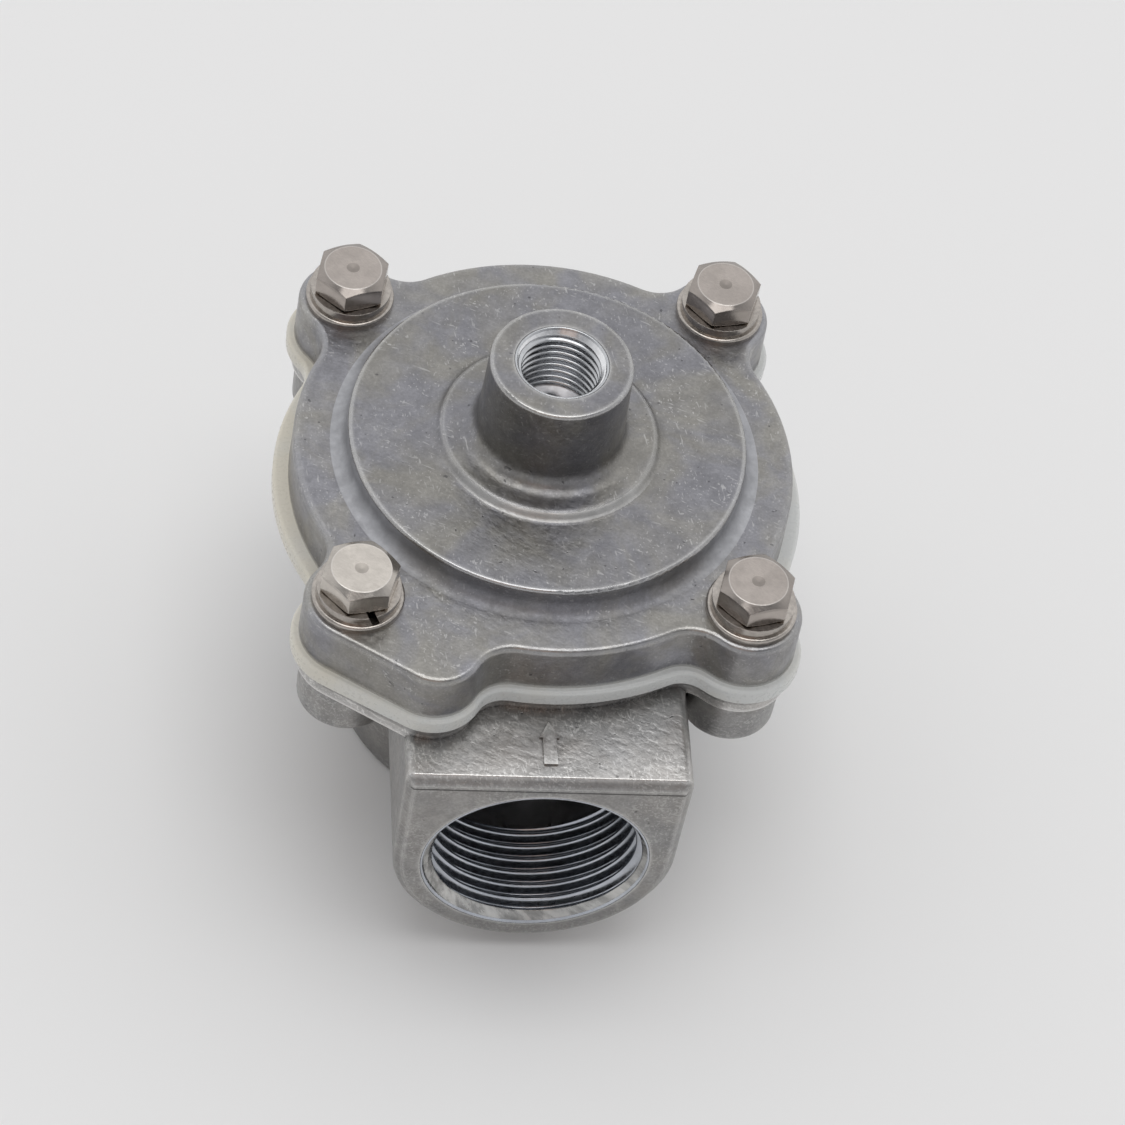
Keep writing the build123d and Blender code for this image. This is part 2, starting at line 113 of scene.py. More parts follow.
def maths(tree, operation, a, b=0.0, clamp=False):
    return node(tree, "ShaderNodeMath", {0: a, 1: b}, operation=operation, use_clamp=clamp).outputs[0]


def plus(tree, a, b):
    return maths(tree, "ADD", a, b)


def minus(tree, a, b, clamp=False):
    return maths(tree, "SUBTRACT", a, b, clamp)


def times(tree, a, b):
    return maths(tree, "MULTIPLY", a, b)


def less(tree, mask, share=1.0):
    """1 where the mask is 0, and lower by this share where it is 1."""
    return minus(tree, 1.0, times(tree, mask, share))


def distance_from(tree, parts, centre):
    """Distance of two coordinates from a centre point."""
    offsets = [minus(tree, part, c) for part, c in zip(parts, centre)]
    return maths(tree, "SQRT", plus(tree, *(times(tree, a, a) for a in offsets)))


def mix(tree, factor, a, b, blend="MIX"):
    made = node(tree, "ShaderNodeMix", {"Factor": factor}, data_type="RGBA", blend_type=blend)
    for key, value in ((6, a), (7, b)):
        if isinstance(value, bpy.types.NodeSocket):
            tree.links.new(value, made.inputs[key])
        else:
            made.inputs[key].default_value = (*value, 1)
    return made.outputs[2]


def tinted(tree, colour, tone):
    """A colour made lighter or darker by a number."""
    grey = node(tree, "ShaderNodeCombineColor", {0: tone, 1: tone, 2: tone}).outputs[0]
    return mix(tree, 1.0, colour, grey, "MULTIPLY")


def flecks(tree, turn, width, length, low, high, shift=(0, 0, 0)):
    """Short scuffs that all run one way: a stretched noise cut off near its top."""
    vector = coords(tree, (1 / length, 1 / width, 1 / width), turn, shift)
    return ramp(tree, noise(tree, vector, 1.0, 1.0, 0.4), low, high)


def nearby(tree, distance, inside):
    """How open the space is within this distance, outside the solid or inside it: 1 on a wide flat face."""
    inputs = {"Distance": distance * MM}
    made = node(tree, "ShaderNodeAmbientOcclusion", inputs, inside=inside, samples=4, only_local=True)
    return made.outputs["AO"]


def soft_edges(tree, radius):
    """The surface's normal with every sharp edge rounded over this radius."""
    return node(tree, "ShaderNodeBevel", {"Radius": radius * MM}, samples=4).outputs[0]


def within(tree, vector, drum):
    """1 inside a drum and 0 outside it. The drums below say what each of its values is."""
    along, centre, radius, low, high = drum
    parts = split(tree, vector)
    across = [parts[i] for i in (X, Y, Z) if i != along]
    inside = maths(tree, "LESS_THAN", distance_from(tree, across, centre), radius)
    for operation, end in (("GREATER_THAN", low), ("LESS_THAN", high)):
        inside = times(tree, inside, maths(tree, operation, parts[along], end))
    return inside


def step_up(tree, vector, along, low, high):
    """0 below low and 1 above high along one coordinate."""
    return ramp(tree, split(tree, vector)[along], low, high)


def layer(tree, vector, rise, fall):
    """1 between two heights, each given as the pair that the mask rises or falls over."""
    return minus(tree, step_up(tree, vector, Z, *rise), step_up(tree, vector, Z, *fall))


# Drums on the castings that look different from the rest: the coordinate that the drum's axis runs along,
# the axis's place in the other two, the radius, and the two ends
PILOT_BORE = (Z, (0, 0), 6.9, 59.5, 77.2)
INLET_BORE = (Y, (0, 23.5), 17.05, -50.6, -17.0)
PAD = (Z, (0, 0), 17.5, 60.8, 66.0)
PAD_FLANK = (Z, (0, 0), 17.4, 61.53, 62.44)
DISC_FOOT = (Z, (0, 0), 32.0, 57.4, 60.9)

# Layers of the castings, made lighter there with painted light and given their own amount of scuffs: the
# heights that the mask rises between, and those that it falls between
COVER_LAYER = ((40.0, 41.0), (60.0, 61.0))
BLOCK_TOP_LAYER = ((43.3, 43.7), (44.5, 44.9))
SEAM_LAYER = ((41.6, 41.7), (41.9, 42.0))

# Places along y that a mask rises between, from the front to the back
PAD_FLANK_RISE = (-14.0, -6.0)
DISC_FOOT_RISE = (-31.0, -17.0)
SEAM_RISE = (-50.4, -50.2)

PAD_SOFTNESS = 1.2
# Colours painted on the pad's front flank, a painted highlight, and on the disc foot away from its front,
# painted light
FLANK_PAINTED_HIGHLIGHT_TONE, FOOT_PAINTED_LIGHT_TONE = (0.42, 0.415, 0.405), (0.40, 0.403, 0.42)
CAST_ROUGHNESS, FOOT_ROUGHNESS_GAIN = 0.34, 0.24
EDGE_REACH, CORNER_REACH = 0.8, 1.1
SCUFF_DIRECTIONS = 6
SCUFF_WIDTH, SCUFF_LENGTH, SCUFF_FADE = 0.42, 2.3, 0.05


def all_scuffs(tree, cut):
    """Scuffs in several directions. A lower cut leaves more of them."""
    scuffs = None
    for number in range(SCUFF_DIRECTIONS):
        turn = (0.5 * number, 0.9 * number, 0.45 + 1.047 * number)
        shift = (0.013 * number, 0.007 * number, 0.011 * number)
        one = flecks(tree, turn, SCUFF_WIDTH, SCUFF_LENGTH, cut, cut + SCUFF_FADE, shift)
        scuffs = one if scuffs is None else maths(tree, "MAXIMUM", scuffs, one)
    return scuffs


def casting(name, cool, warm, pale, scuff, dents, grain, bore, bore_look, lit_scuffed_layer, painted_light_gain, details):
    """Tumbled die-cast aluminium: mottled, scuffed, bright on its outer edges, smoother in its corners and
    darkened there with painted shade.

    The metal varies from cool to warm, and is pale where it is scuffed or worn. scuff holds the scuffs' cut,
    their amount, and their amount in a layer of the casting, which is given with the gain by which painted
    light makes the metal there lighter. dents and grain are depths. bore_look is the tone and roughness of
    the turned bore. details is cover, which has a pad with a painted highlight on its front flank and a disc
    foot with painted light away from its front, or body, which has a seam.
    """
    material, tree, bsdf = new_material(name)
    plain = coords(tree)

    # Colour
    patches = ramp(tree, noise(tree, plain, 0.09, 3.0, 0.55, 0.6), 0.36, 0.66)
    clouds = ramp(tree, noise(tree, plain, 0.33, 5.0, 0.62), 0.3, 0.75, 0.86, 1.12)
    specks = ramp(tree, noise(tree, plain, 2.4, 2.0, 0.6), 0.3, 0.75, 0.92, 1.08)
    base = tinted(tree, mix(tree, patches, cool, warm), times(tree, clouds, specks))
    # Painted light: the layer is made lighter by the gain, and the scuffs have their own amount in it
    in_lit_scuffed_layer = layer(tree, plain, *lit_scuffed_layer)
    base = tinted(tree, base, plus(tree, 1.0, times(tree, in_lit_scuffed_layer, painted_light_gain)))
    cut, amount, zone_amount = scuff
    where = ramp(tree, noise(tree, plain, 0.13, 2.0), 0.36, 0.62, 0.15, 1.0)
    strength = plus(tree, amount, times(tree, in_lit_scuffed_layer, zone_amount - amount))
    scuffs = times(tree, times(tree, all_scuffs(tree, cut), where), strength)
    base = mix(tree, scuffs, base, pale)
    pits = ramp(tree, noise(tree, plain, 0.95, 1.0, 0.4), 0.2, 0.24, 1.0, 0.0)
    base = mix(tree, times(tree, pits, 0.6), base, tuple(0.3 * c for c in cool))
    worn = ramp(tree, nearby(tree, EDGE_REACH, True), 0.62, 0.96, 1.0, 0.0)
    base = mix(tree, times(tree, worn, 0.85), base, pale)
    # Painted shade: darker colour in corners, where the space nearby is closed in; the same mask makes them
    # smoother
    painted_corner_shade = ramp(tree, nearby(tree, CORNER_REACH, False), 0.45, 0.92, 1.0, 0.0)
    base = tinted(tree, base, less(tree, painted_corner_shade, 0.45))
    if details == "cover":
        # Painted light: the disc foot is lighter and slightly bluer away from its front
        foot = within(tree, plain, DISC_FOOT)
        lit_foot_sides = times(tree, foot, step_up(tree, plain, Y, *DISC_FOOT_RISE))
        base = mix(tree, lit_foot_sides, base, tinted(tree, FOOT_PAINTED_LIGHT_TONE, clouds))
        # Painted highlight: the pad's flank is lighter at the front
        highlight_flank = within(tree, plain, PAD_FLANK)
        highlight_flank = times(tree, highlight_flank, less(tree, step_up(tree, plain, Y, *PAD_FLANK_RISE)))
        base = mix(tree, highlight_flank, base, tinted(tree, FLANK_PAINTED_HIGHLIGHT_TONE, clouds))
    else:
        seam = layer(tree, plain, *SEAM_LAYER)
        seam = times(tree, seam, less(tree, step_up(tree, plain, Y, *SEAM_RISE)))
        base = tinted(tree, base, less(tree, seam, 0.7))
    turned = within(tree, plain, bore)
    tone, bore_roughness = bore_look
    base = mix(tree, turned, base, tinted(tree, (tone, tone, 1.03 * tone), clouds))
    tree.links.new(base, bsdf.inputs["Base Color"])
    bsdf.inputs["Metallic"].default_value = 0.93

    # Roughness
    smooth, dull = CAST_ROUGHNESS - 0.05, CAST_ROUGHNESS + 0.06
    rough = ramp(tree, noise(tree, plain, 0.9, 3.0, 0.6), 0.3, 0.7, smooth, dull)
    rough = minus(tree, rough, times(tree, worn, 0.19))
    rough = minus(tree, rough, times(tree, painted_corner_shade, 0.08), clamp=True)
    rough = plus(tree, rough, times(tree, turned, bore_roughness - CAST_ROUGHNESS))
    if details == "cover":
        rough = plus(tree, rough, times(tree, foot, FOOT_ROUGHNESS_GAIN))
    tree.links.new(rough, bsdf.inputs["Roughness"])

    # Relief: fine grain, long shallow dents and pits, none of it on turned or worn metal
    fine = noise(tree, plain, 3.2, 2.0, 0.6)
    long_noise = noise(tree, coords(tree, (0.55, 1.1, 1.1), (0.3, 0.4, 0.7)), 1.0, 2.0, 0.5)
    hollows = times(tree, ramp(tree, long_noise, 0.3, 0.6), dents)
    height = plus(tree, times(tree, fine, grain), hollows)
    height = minus(tree, height, times(tree, pits, 0.4))
    level = times(tree, less(tree, turned), less(tree, worn))
    inputs = {"Height": height, "Strength": level, "Distance": 0.1 * MM}
    if details == "cover":
        own = node(tree, "ShaderNodeNewGeometry").outputs["Normal"]
        normal = node(tree, "ShaderNodeMix", {"Factor": within(tree, plain, PAD)}, data_type="VECTOR")
        tree.links.new(own, normal.inputs[4])
        tree.links.new(soft_edges(tree, PAD_SOFTNESS), normal.inputs[5])
        inputs["Normal"] = normal.outputs[1]
    tree.links.new(node(tree, "ShaderNodeBump", inputs).outputs[0], bsdf.inputs["Normal"])
    return material


def scratched(tree, bsdf, lines, depth, edge):
    """Relief of fine scratches on softened edges, all sizes in millimetres."""
    inputs = {"Height": lines, "Strength": 0.5, "Distance": depth * MM, "Normal": soft_edges(tree, edge)}
    tree.links.new(node(tree, "ShaderNodeBump", inputs).outputs[0], bsdf.inputs["Normal"])
    bsdf.inputs["Metallic"].default_value = 1.0


def bright_metal(name, colour, roughness, scratch, stretch=(1, 1, 1), depth=0.004, edge=0.15, shade_reach=None):
    """Polished or turned metal with fine scratches, faint stains and, where asked, painted shade in corners.
    """
    material, tree, bsdf = new_material(name)
    plain = coords(tree)
    stains = ramp(tree, noise(tree, plain, 0.35, 3.0), 0.3, 0.7, 0.9, 1.05)
    lines = noise(tree, coords(tree, stretch, (0.2, 0.1, 0.6)), 1.6, 3.0, 0.55)
    tone = times(tree, stains, ramp(tree, lines, 0.3, 0.7, 1 - scratch, 1 + scratch / 2))
    # Painted shade: darker colour in corners, within the given reach
    if shade_reach:
        tone = times(tree, tone, ramp(tree, nearby(tree, shade_reach, False), 0.4, 0.9, 0.25, 1.0))
    tree.links.new(tinted(tree, colour, tone), bsdf.inputs["Base Color"])
    rough = ramp(tree, lines, 0.3, 0.7, roughness - 0.03, roughness + 0.05)
    tree.links.new(rough, bsdf.inputs["Roughness"])
    scratched(tree, bsdf, lines, depth, edge)
    return material


HEAD_CROWN = (HEAD_TOP - 1.1, HEAD_TOP - 0.75)
# Colour of the painted highlight ring round the edge of each head's face
HEAD_HIGHLIGHT_TONE = (0.85, 0.82, 0.79)


def bolt_steel(name, colour):
    """Pinkish stainless steel: a bright turned face on each head, edged by a painted highlight ring, a
    chamfer darkened with painted shade, a dull dimple, and painted shade in corners.
    """
    material, tree, bsdf = new_material(name)
    plain = coords(tree)
    parts = split(tree, plain)
    across = [maths(tree, "ABSOLUTE", parts[i]) for i in (X, Y)]
    reach = distance_from(tree, across, (BOLT_STATION, BOLT_STATION))
    crown = ramp(tree, parts[Z], *HEAD_CROWN)
    # Painted shade: the chamfer round the face is darker
    chamfer = times(tree, crown, ramp(tree, reach, HEAD_FACE_R - 0.03, HEAD_FACE_R + 0.06))
    # Painted highlight: a thin pale ring round the face's edge
    from_ring = maths(tree, "ABSOLUTE", minus(tree, reach, HEAD_FACE_R))
    painted_highlight_ring = times(tree, times(tree, ramp(tree, from_ring, 0.0, 0.16, 1.0, 0.0), crown), 0.3)
    dimple = times(tree, crown, ramp(tree, reach, HEAD_DIMPLE_R - 0.1, HEAD_DIMPLE_R, 1.0, 0.0))
    stains = ramp(tree, noise(tree, plain, 0.35, 3.0), 0.3, 0.7, 0.9, 1.06)
    lines = noise(tree, coords(tree, (1, 3, 1), (0.2, 0.1, 0.6)), 1.6, 3.0, 0.55)
    tone = times(tree, stains, ramp(tree, lines, 0.3, 0.7, 0.95, 1.03))
    # Painted shade on the chamfer
    tone = times(tree, tone, less(tree, chamfer, 0.22))
    tone = times(tree, tone, less(tree, dimple, 0.3))
    # Painted shade: darker colour in corners
    tone = times(tree, tone, ramp(tree, nearby(tree, 1.2, False), 0.4, 0.9, 0.35, 1.0))
    base = mix(tree, painted_highlight_ring, tinted(tree, colour, tone), HEAD_HIGHLIGHT_TONE)
    tree.links.new(base, bsdf.inputs["Base Color"])
    rough = plus(tree, ramp(tree, lines, 0.3, 0.7, 0.17, 0.24), times(tree, dimple, 0.33))
    tree.links.new(rough, bsdf.inputs["Roughness"])
    scratched(tree, bsdf, lines, 0.004, 0.15)
    return material


YELLOWED_SIDE = (-42.0, -12.0)


def elastomer(name, colour, shade, roughness):
    """Moulded rubber: one side yellowed, slightly uneven colour, soft sheen and a fine moulded grain."""
    material, tree, bsdf = new_material(name)
    plain = coords(tree)
    side = step_up(tree, plain, X, *YELLOWED_SIDE)
    uneven = ramp(tree, noise(tree, plain, 0.12, 3.0), 0.3, 0.7, -0.25, 0.25)
    base = mix(tree, maths(tree, "ADD", side, uneven, clamp=True), shade, colour)
    dust = ramp(tree, noise(tree, plain, 2.2, 3.0, 0.7), 0.62, 0.75)
    base = mix(tree, times(tree, dust, 0.25), base, tuple(0.6 * c for c in shade))
    # Painted shade: darker colour in corners, where the space nearby is closed in
    painted_corner_shade = ramp(tree, nearby(tree, 1.5, False), 0.35, 0.9, 0.62, 1.0)
    tree.links.new(tinted(tree, base, painted_corner_shade), bsdf.inputs["Base Color"])
    rough = ramp(tree, noise(tree, plain, 1.5), 0.3, 0.7, roughness - 0.06, roughness + 0.08)
    tree.links.new(rough, bsdf.inputs["Roughness"])
    bsdf.inputs["Specular IOR Level"].default_value = 0.45
    inputs = {"Height": noise(tree, plain, 3.0, 3.0), "Strength": 0.25, "Distance": 0.06 * MM}
    tree.links.new(node(tree, "ShaderNodeBump", inputs).outputs[0], bsdf.inputs["Normal"])
    return material


cover_metal = casting(
    "cover_casting", cool=(0.236, 0.235, 0.252), warm=(0.263, 0.254, 0.236), pale=(0.78, 0.775, 0.76),
    scuff=(0.71, 0.3, 0.3), dents=0.16, grain=0.1, bore=PILOT_BORE, bore_look=(0.85, 0.46),
    lit_scuffed_layer=COVER_LAYER, painted_light_gain=0.1, details="cover",
)
body_metal = casting(
    "body_casting", cool=(0.29, 0.287, 0.284), warm=(0.325, 0.314, 0.302), pale=(0.80, 0.79, 0.77),
    scuff=(0.655, 0.22, 0.55), dents=0.19, grain=0.14, bore=INLET_BORE, bore_look=(0.62, 0.2),
    lit_scuffed_layer=BLOCK_TOP_LAYER, painted_light_gain=0.5, details="body",
)
bolt_metal = bolt_steel("bolt_steel", (0.43, 0.388, 0.356))
clean_bolt_metal = bolt_steel("bolt_steel_clean", (0.63, 0.585, 0.533))
washer_metal = bright_metal("washer_steel", (0.46, 0.425, 0.39), 0.2, 0.14, shade_reach=0.6)
machined = bright_metal("machined_aluminium", (0.55, 0.56, 0.575), 0.18, 0.06, edge=0.05)
dark_machined = bright_metal("machined_bore", (0.54, 0.565, 0.61), 0.22, 0.06, edge=0.05)
mouth_cut = bright_metal(
    "machined_mouth", (0.50, 0.495, 0.48), 0.26, 0.4, stretch=(0.12, 0.6, 0.3), depth=0.04, edge=0.1,
)
bright_cut = bright_metal("machined_chamfer", (0.84, 0.845, 0.855), 0.2, 0.1, edge=0.1)
ivory = elastomer("ivory_elastomer", (0.60, 0.612, 0.60), (0.645, 0.613, 0.525), 0.3)
black_rubber = elastomer("black_rubber", (0.02, 0.02, 0.02), (0.035, 0.035, 0.035), 0.6)
plate_metal = bright_metal("plated_steel", (0.60, 0.59, 0.55), 0.32, 0.12)

looks = {
    "valve_body": body_metal,
    "valve_cover": cover_metal,
    "diaphragm": ivory,
    "seat_disc": black_rubber,
    "support_plate": plate_metal,
    "lower_plate": plate_metal,
    "centre_rivet": bolt_metal,
    "return_spring": plate_metal,
    "bolt_front_left": clean_bolt_metal,
}
for name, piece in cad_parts.items():
    if name in looks:
        look = looks[name]
    elif "washer" in name:
        look = washer_metal
    else:
        look = bolt_metal
    piece.data.materials.clear()
    piece.data.materials.append(look)


def add_mesh(name, points, faces, material, body, smooth=True):
    """A closed mesh piece in metres, on a CAD body if one is given. End caps are left flat."""
    mesh = bpy.data.meshes.new(name)
    mesh.from_pydata([tuple(p) for p in points], [], faces)
    shape = bmesh.new()
    shape.from_mesh(mesh)
    bmesh.ops.recalc_face_normals(shape, faces=shape.faces)
    shape.to_mesh(mesh)
    shape.free()
    rounded = [smooth and len(face.vertices) == 4 for face in mesh.polygons]
    mesh.polygons.foreach_set("use_smooth", rounded)
    mesh.materials.append(material)
    made = bpy.data.objects.new(name, mesh)
    scene.collection.objects.link(made)
    if body:
        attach(made, body)
    return made


# Internal threads, in millimetres: radii of the crest, the root, the lining's outside and the mouth, the
# pitch, the length over which the thread runs out, and the number of points round it
G1 = dict(crest=15.15, root=16.5, outer=16.6, mouth=16.96, pitch=2.309, runout=2.0, around=192)
G1_4 = dict(crest=5.72, root=6.50, outer=6.56, mouth=6.94, pitch=1.337, runout=1.2, around=128)
INLET_THREAD_DEPTH, OUTLET_THREAD_DEPTH, PILOT_THREAD_DEPTH = 15.95 * MM, 14.95 * MM, 11.5 * MM
CREST_SHARE, ROOT_SHARE = 0.2, 0.14
ROWS_PER_PITCH = 22
MOUTH_INSET = 0.01 * MM


def thread_radius(phase, crest, root):
    """Radius of an internal thread along one pitch: narrow flat crests and roots joined by steep flanks."""
    wave = abs(2 * (phase % 1.0) - 1)
    wave = min(1.0, max(0.0, (wave - CREST_SHARE) / (1 - CREST_SHARE - ROOT_SHARE)))
    rounded = wave * wave * (3 - 2 * wave)
    return root + (crest - root) * (0.6 * rounded + 0.4 * wave)


def thread_liner(name, thread, origin, axis, up, depth, metal, mouth_metal):
    """An internal thread as a thin lining: origin at the mouth's centre, axis into the bore."""
    sizes = ("crest", "root", "outer", "mouth", "pitch", "runout")
    crest, root, outer, mouth, pitch, runout = (thread[size] * MM for size in sizes)
    around = thread["around"]
    axis, up = Vector(axis), Vector(up)
    side = axis.cross(up)
    steps = int(depth / pitch * ROWS_PER_PITCH)
    points, faces = [], []

    def add_point(d, angle, r):
        points.append(Vector(origin) + axis * d + (up * cos(angle) + side * sin(angle)) * r)

    for i in range(steps + 1):
        d = depth * i / steps
        fade = min(1.0, max(0.0, (depth - d) / runout))
        for j in range(around):
            angle = tau * j / around
            cut = thread_radius(d / pitch - angle / tau, crest, root)
            cut = crest + (cut - crest) * min(1.0, fade * 1.6)
            add_point(d, angle, max(cut, mouth - d))
    for i in (steps, 0):
        for j in range(around):
            add_point(depth * i / steps, tau * j / around, outer)
    rows = steps + 3
    for i in range(rows):
        a, b = i, (i + 1) % rows
        for j in range(around):
            k = (j + 1) % around
            faces.append((a * around + j, a * around + k, b * around + k, b * around + j))
    made = add_mesh(name, points, faces, metal, "housing")
    made.data.materials.append(mouth_metal)
    chamfer = int((mouth - crest) / depth * steps) * around
    marks = [1 if i < chamfer else 0 for i in range(len(made.data.polygons))]
    made.data.polygons.foreach_set("material_index", marks)
    return made


thread_liner(
    "inlet_thread", G1, (0, INLET_FACE_Y + MOUTH_INSET, INLET_AXIS_Z), (0, 1, 0), (0, 0, 1),
    INLET_THREAD_DEPTH, dark_machined, mouth_cut,
)
thread_liner(
    "outlet_thread", G1, (0, 0, MOUTH_INSET), (0, 0, 1), (0, -1, 0),
    OUTLET_THREAD_DEPTH, dark_machined, mouth_cut,
)
thread_liner(
    "pilot_thread", G1_4, (0, 0, BOSS_TOP_Z - MOUTH_INSET), (0, 0, -1), (0, -1, 0),
    PILOT_THREAD_DEPTH, machined, bright_cut,
)

# The diaphragm: a clamped rim, a flat centre and a fold between them in twelve sectors
RIVET_HOLE_R = 3.1 * MM
FOLD_IN, FOLD_OUT, FOLD_FREE, FOLD_FLAT_END = 18.4 * MM, 27.0 * MM, 25.2 * MM, 20.2 * MM
CENTRE_BASE, CENTRE_TOP = 45.5 * MM, 47.3 * MM
RIM_BASE, RIM_TOP = 46.2 * MM, 49.2 * MM
CREST_R, CREST_BASE, CREST_TOP = 22.7 * MM, 48.7 * MM, 50.5 * MM
FOLD_SECTORS, FOLD_STEPS, SECTOR_STEPS = 12, 20, 10


def arc_height(r, start, crest, end):
    """Height at radius r on the arc through three points, each (radius, height)."""
    (ax, ay), (bx, by), (cx, cy) = start, crest, end
    d = 2 * (ax * (by - cy) + bx * (cy - ay) + cx * (ay - by))
    a2, b2, c2 = ax * ax + ay * ay, bx * bx + by * by, cx * cx + cy * cy
    ux = (a2 * (by - cy) + b2 * (cy - ay) + c2 * (ay - by)) / d
    uy = (a2 * (cx - bx) + b2 * (ax - cx) + c2 * (bx - ax)) / d
    reach = (ax - ux) ** 2 + (ay - uy) ** 2 - (r - ux) ** 2
    return uy + max(reach, 0.0) ** 0.5


def fold_top(r):
    return arc_height(r, (FOLD_IN, CENTRE_TOP), (CREST_R, CREST_TOP), (FOLD_OUT, RIM_TOP))


def fold_base(r):
    if r <= FOLD_FLAT_END:
        return CENTRE_BASE
    return arc_height(r, (FOLD_FLAT_END, CENTRE_BASE), (CREST_R, CREST_BASE), (FOLD_FREE, RIM_BASE))


def spaced(start, stop):
    return [start + (stop - start) * i / FOLD_STEPS for i in range(FOLD_STEPS + 1)]


def swept(profile, start, stop, steps):
    """A closed profile of (radius, height) turned about the valve's axis, with end caps on a part turn."""
    full = stop - start > tau - 0.001
    points, faces = [], []
    turns = steps if full else steps + 1
    for i in range(turns):
        angle = start + (stop - start) * i / steps
        points += [(r * cos(angle), r * sin(angle), z) for r, z in profile]
    size = len(profile)
    for i in range(steps):
        a, b = i * size, ((i + 1) % turns) * size
        for j in range(size):
            k = (j + 1) % size
            faces.append((a + j, b + j, b + k, a + k))
    if not full:
        faces += [tuple(range(size)), tuple(range(steps * size, turns * size))]
    return points, faces


fold_profile = [(r, fold_top(r)) for r in spaced(FOLD_IN, FOLD_OUT)]
fold_profile += [(r, fold_base(r)) for r in spaced(FOLD_FREE, FOLD_IN)]
for sector in range(FOLD_SECTORS):
    width = tau / FOLD_SECTORS
    middle = sector * width
    points, faces = swept(fold_profile, middle - width / 2, middle + width / 2, SECTOR_STEPS)
    fold = add_mesh(f"diaphragm_fold_{sector + 1}", points, faces, ivory, None)
    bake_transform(fold)

centre_profile = [
    (RIVET_HOLE_R, CENTRE_BASE),
    (RIVET_HOLE_R, CENTRE_TOP),
    (FOLD_IN, CENTRE_TOP),
    (FOLD_IN, CENTRE_BASE),
]
points, faces = swept(centre_profile, 0.0, tau, 96)
add_mesh("diaphragm_centre", points, faces, ivory, "centre_stack", smooth=False)

# The clamped rim: the CAD diaphragm, cut open inside the fold's outer edge and closed again there
rim_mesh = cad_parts["diaphragm"].data.copy()
rim_mesh.name = "diaphragm_rim"
rim_mesh.attributes.remove(rim_mesh.attributes["custom_normal"])
shape = bmesh.new()
shape.from_mesh(rim_mesh)
bmesh.ops.remove_doubles(shape, verts=shape.verts, dist=0.001 * MM)
reach = FOLD_OUT + 0.03 * MM
inner = [face for face in shape.faces if all(hypot(v.co.x, v.co.y) < reach for v in face.verts)]
bmesh.ops.delete(shape, geom=inner, context="FACES")
bmesh.ops.bridge_loops(shape, edges=[edge for edge in shape.edges if edge.is_boundary])
bmesh.ops.recalc_face_normals(shape, faces=shape.faces)
for edge in shape.edges:
    edge.smooth = edge.calc_face_angle(0.0) < radians(30)
for face in shape.faces:
    face.smooth = True
shape.to_mesh(rim_mesh)
shape.free()
rim = bpy.data.objects.new("diaphragm_rim", rim_mesh)
scene.collection.objects.link(rim)
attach(rim, "housing")
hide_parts("diaphragm")

# Return spring. Its end coils lie flat
COIL_R, WIRE_R, COIL_TURNS = 9.4 * MM, 0.6 * MM, 3.75
COIL_LOW, COIL_HIGH, COIL_INSET = 48.5 * MM, 59.9 * MM, 0.35 * MM
COIL_RINGS, WIRE_SIDES = 180, 12
points, faces = [], []
for i in range(COIL_RINGS + 1):
    angle = tau * COIL_TURNS * i / COIL_RINGS
    height = COIL_LOW + COIL_INSET + (COIL_HIGH - COIL_LOW - 2 * COIL_INSET) * i / COIL_RINGS
    middle = Vector((COIL_R * cos(angle), COIL_R * sin(angle), height))
    outwards = Vector((cos(angle), sin(angle), 0))
    for j in range(WIRE_SIDES):
        turn = tau * j / WIRE_SIDES
        p = middle + outwards * WIRE_R * cos(turn) + Vector((0, 0, WIRE_R * sin(turn)))
        p.z = min(max(p.z, COIL_LOW), COIL_HIGH)
        points.append(p)
for i in range(COIL_RINGS):
    a, b = i * WIRE_SIDES, (i + 1) * WIRE_SIDES
    for j in range(WIRE_SIDES):
        k = (j + 1) % WIRE_SIDES
        faces.append((a + j, a + k, b + k, b + j))
faces += [tuple(range(WIRE_SIDES)), tuple(range(COIL_RINGS * WIRE_SIDES, (COIL_RINGS + 1) * WIRE_SIDES))]
spring = add_mesh("spring_coil", points, faces, plate_metal, "housing")
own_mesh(spring)
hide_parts("return_spring")

# Pale floor, just under the outlet face
FLOOR_SIDE, FLOOR_GAP = 6, 0.1 * MM
bpy.ops.mesh.primitive_plane_add(size=FLOOR_SIDE, location=(0, 0, -FLOOR_GAP))
floor = bpy.context.object
floor.name = "floor"
floor_look, tree, bsdf = new_material("floor")
bsdf.inputs["Base Color"].default_value = (0.825, 0.825, 0.82, 1)
bsdf.inputs["Roughness"].default_value = 0.7
bsdf.inputs["Specular IOR Level"].default_value = 0.2
floor.data.materials.append(floor_look)

# One soft lamp overhead
LAMP_SIDE, LAMP_POWER = 0.8, 3.9
lamp_place, lamp_target = Vector((0.02, 0, 1.2)), Vector((0, 0, 0.04))
lamp_data = bpy.data.lights.new("overhead", "AREA")
lamp_data.shape = "SQUARE"
lamp_data.size = LAMP_SIDE
lamp_data.energy = LAMP_POWER
lamp = bpy.data.objects.new("overhead", lamp_data)
scene.collection.objects.link(lamp)
lamp.location = lamp_place
lamp.rotation_euler = (lamp_target - lamp_place).to_track_quat("-Z", "Y").to_euler()

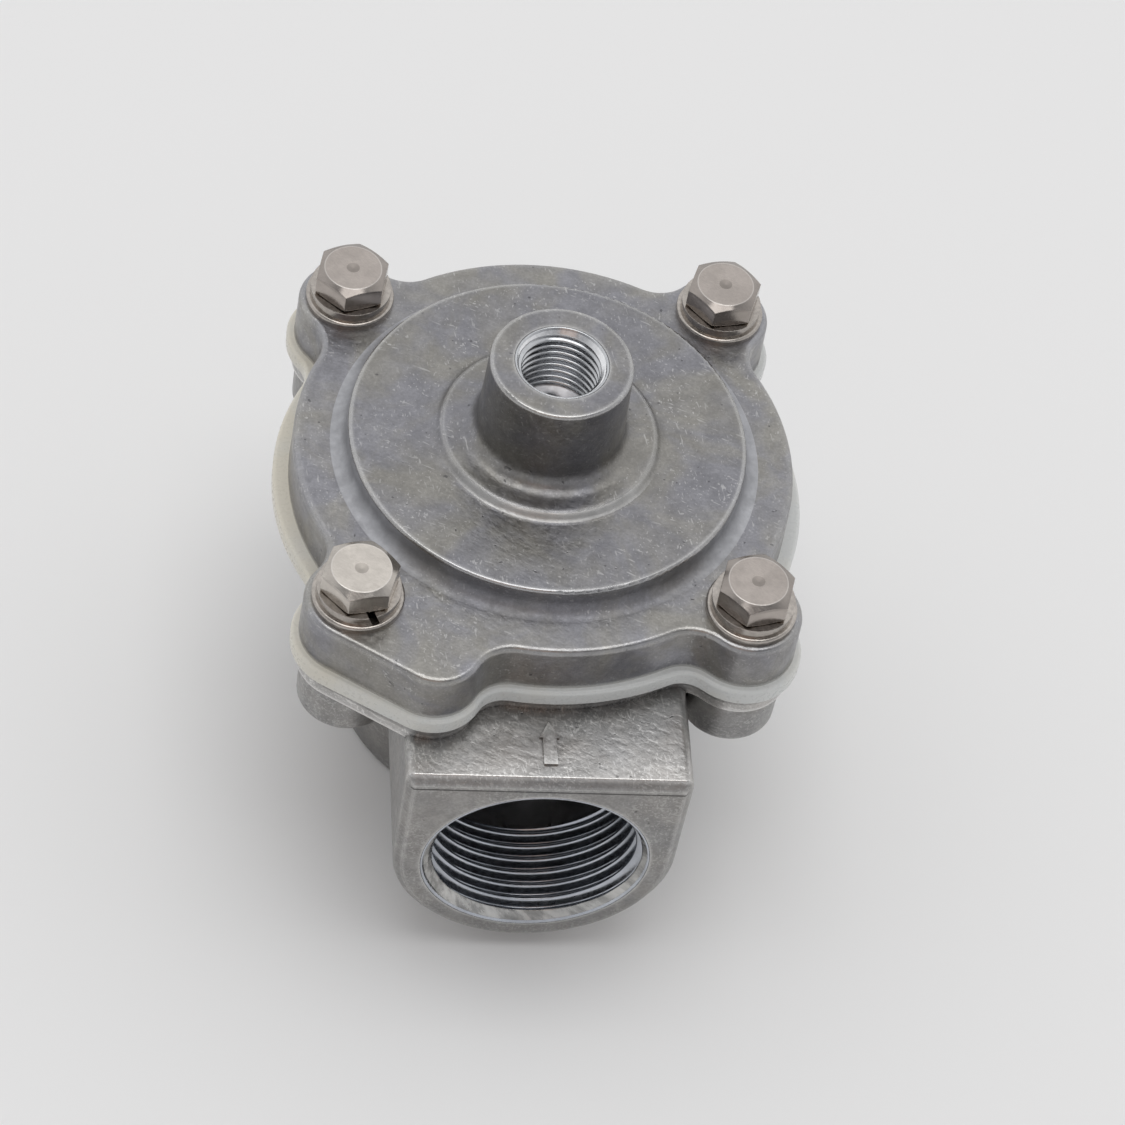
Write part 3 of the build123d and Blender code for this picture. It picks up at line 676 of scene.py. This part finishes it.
# A pale room, dimmer high up in front, with two warm patches
BACK_TONE, LOW_FRONT, HIGH_FRONT = (0.95, 0.955, 0.965), (0.64, 0.645, 0.66), (0.22, 0.225, 0.24)
WARM_TONE, WARM_SWINGS = (0.62, 0.45, 0.36), (-24, -1)
DIMMING_HEIGHTS, BACK_SPREAD, WARM_SPREAD = (0.5, 0.72), (-0.5, 0.35), (0.975, 0.992)
WARM_REACH, WARM_HEIGHT = 0.62, 0.78
world = bpy.data.worlds.new("studio")
scene.world = world
world.use_nodes = True
sky = world.node_tree
direction = node(sky, "ShaderNodeTexCoord").outputs["Generated"]


def facing(vector, low, high):
    """How far a direction of the sky points towards the vector, cut off between two cosines."""
    inputs = {0: direction, 1: Vector(vector).normalized()}
    dot = node(sky, "ShaderNodeVectorMath", inputs, operation="DOT_PRODUCT").outputs["Value"]
    return ramp(sky, dot, low, high)


front = mix(sky, step_up(sky, direction, Z, *DIMMING_HEIGHTS), LOW_FRONT, HIGH_FRONT)
tone = mix(sky, facing((0.05, 1.0, 0.0), *BACK_SPREAD), front, BACK_TONE)
for swing in WARM_SWINGS:
    patch = (sin(radians(swing)) * WARM_REACH, -cos(radians(swing)) * WARM_REACH, WARM_HEIGHT)
    tone = mix(sky, facing(patch, *WARM_SPREAD), tone, WARM_TONE)
sky.links.new(tone, sky.nodes["Background"].inputs["Color"])
sky.nodes["Background"].inputs["Strength"].default_value = 1.0

# Camera at the photograph's viewing angle, from a fit to the part's sizes
FOCAL_PX, IMAGE_PX, SENSOR_WIDTH = 3664.0, 1125, 36
CAMERA_DISTANCE = 0.52599
azimuth, elevation, roll = radians(-12.509), radians(51.522), radians(-11.797)
target = Vector((0.708, -24.165, 61.5)) * MM
back = Vector((sin(azimuth) * cos(elevation), -cos(azimuth) * cos(elevation), sin(elevation)))
right = Vector((cos(azimuth), sin(azimuth), 0))
upward = back.cross(right)
rolled_right = cos(roll) * right - sin(roll) * upward
rolled_up = sin(roll) * right + cos(roll) * upward
camera_data = bpy.data.cameras.new("camera")
camera_data.sensor_width = SENSOR_WIDTH
camera_data.lens = FOCAL_PX / IMAGE_PX * SENSOR_WIDTH
camera_data.clip_start = 0.05
camera_data.clip_end = 20
camera = bpy.data.objects.new("camera", camera_data)
scene.collection.objects.link(camera)
turn = Matrix((rolled_right, rolled_up, back)).transposed().to_4x4()
camera.matrix_world = Matrix.Translation(target + back * CAMERA_DISTANCE) @ turn
scene.camera = camera
